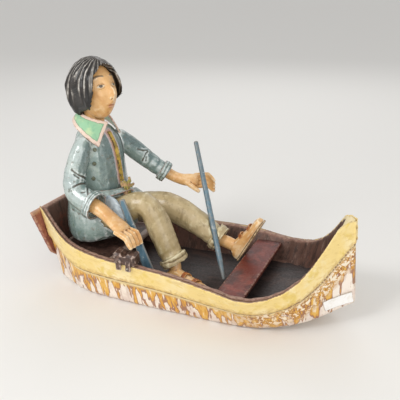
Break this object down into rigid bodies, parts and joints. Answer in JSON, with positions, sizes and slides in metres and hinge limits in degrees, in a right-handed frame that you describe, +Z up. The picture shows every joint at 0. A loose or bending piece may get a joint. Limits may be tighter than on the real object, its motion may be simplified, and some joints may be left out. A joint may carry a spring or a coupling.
{
  "type": "man in boat figurine",
  "caption": "Painted figurine of a man in a blue-green coat sitting in a small open rowing boat and holding two oars; stands on the hull's flat bottom.",
  "frame": {"origin": "centre of the hull's flat bottom, on the surface the figurine stands on", "axes": "+X to the bow (the way the man faces), +Y to port, +Z up"},
  "size_m": [0.475, 0.2284, 0.3447],
  "materials": {
    "hull": "worn white and ochre paint",
    "rail": "worn yellow cream paint",
    "floor": "dark worn stain",
    "thwart": "dark red brown worn stain",
    "stern_board": "red brown and tan stain",
    "dark_wood": "dark brown rough stain",
    "nail": "worn steel",
    "oar": "blue grey worn paint",
    "coat": "mottled blue green and grey paint",
    "trousers": "khaki paint with olive shadows",
    "skin": "worn tan paint",
    "hair": "black gloss paint with grey wear",
    "collar": "mint green paint with a cream edge",
    "shirt": "grey white paint",
    "placket": "mottled yellow paint",
    "sash": "tan and yellow green paint",
    "button": "dark olive paint",
    "sole": "pale tan paint",
    "strap": "orange brown paint"
  },
  "bodies": {
    "root": {"button_1": "button", "button_2": "button", "button_3": "button", "coat": "coat", "coat_hem": "coat", "collar": "collar", "cuff_left": "coat", "cuff_right": "coat", "floor_board": "floor", "foot_left": "skin", "foot_right": "skin", "hair": "hair", "hand_left": "skin", "hand_right": "skin", "head": "skin", "hull": "hull", "oar_port": "oar", "oar_starboard": "oar", "rail_port": "rail", "rail_starboard": "rail", "rowlock_nail_port": "nail", "rowlock_nail_starboard": "nail", "rowlock_port": "dark_wood", "rowlock_starboard": "dark_wood", "sandal_sole_left": "sole", "sandal_sole_right": "sole", "shirt_front": "placket", "shirt_tail": "shirt", "sleeve_left": "coat", "sleeve_right": "coat", "stern_board": "stern_board", "stern_seat": "dark_wood", "strap_left_1": "strap", "strap_left_2": "strap", "strap_right_1": "strap", "strap_right_2": "strap", "thwart": "thwart", "trouser_cuff_left": "trousers", "trouser_cuff_right": "trousers", "trousers": "trousers", "waist_knot": "sash"}
  },
  "joints": []
}
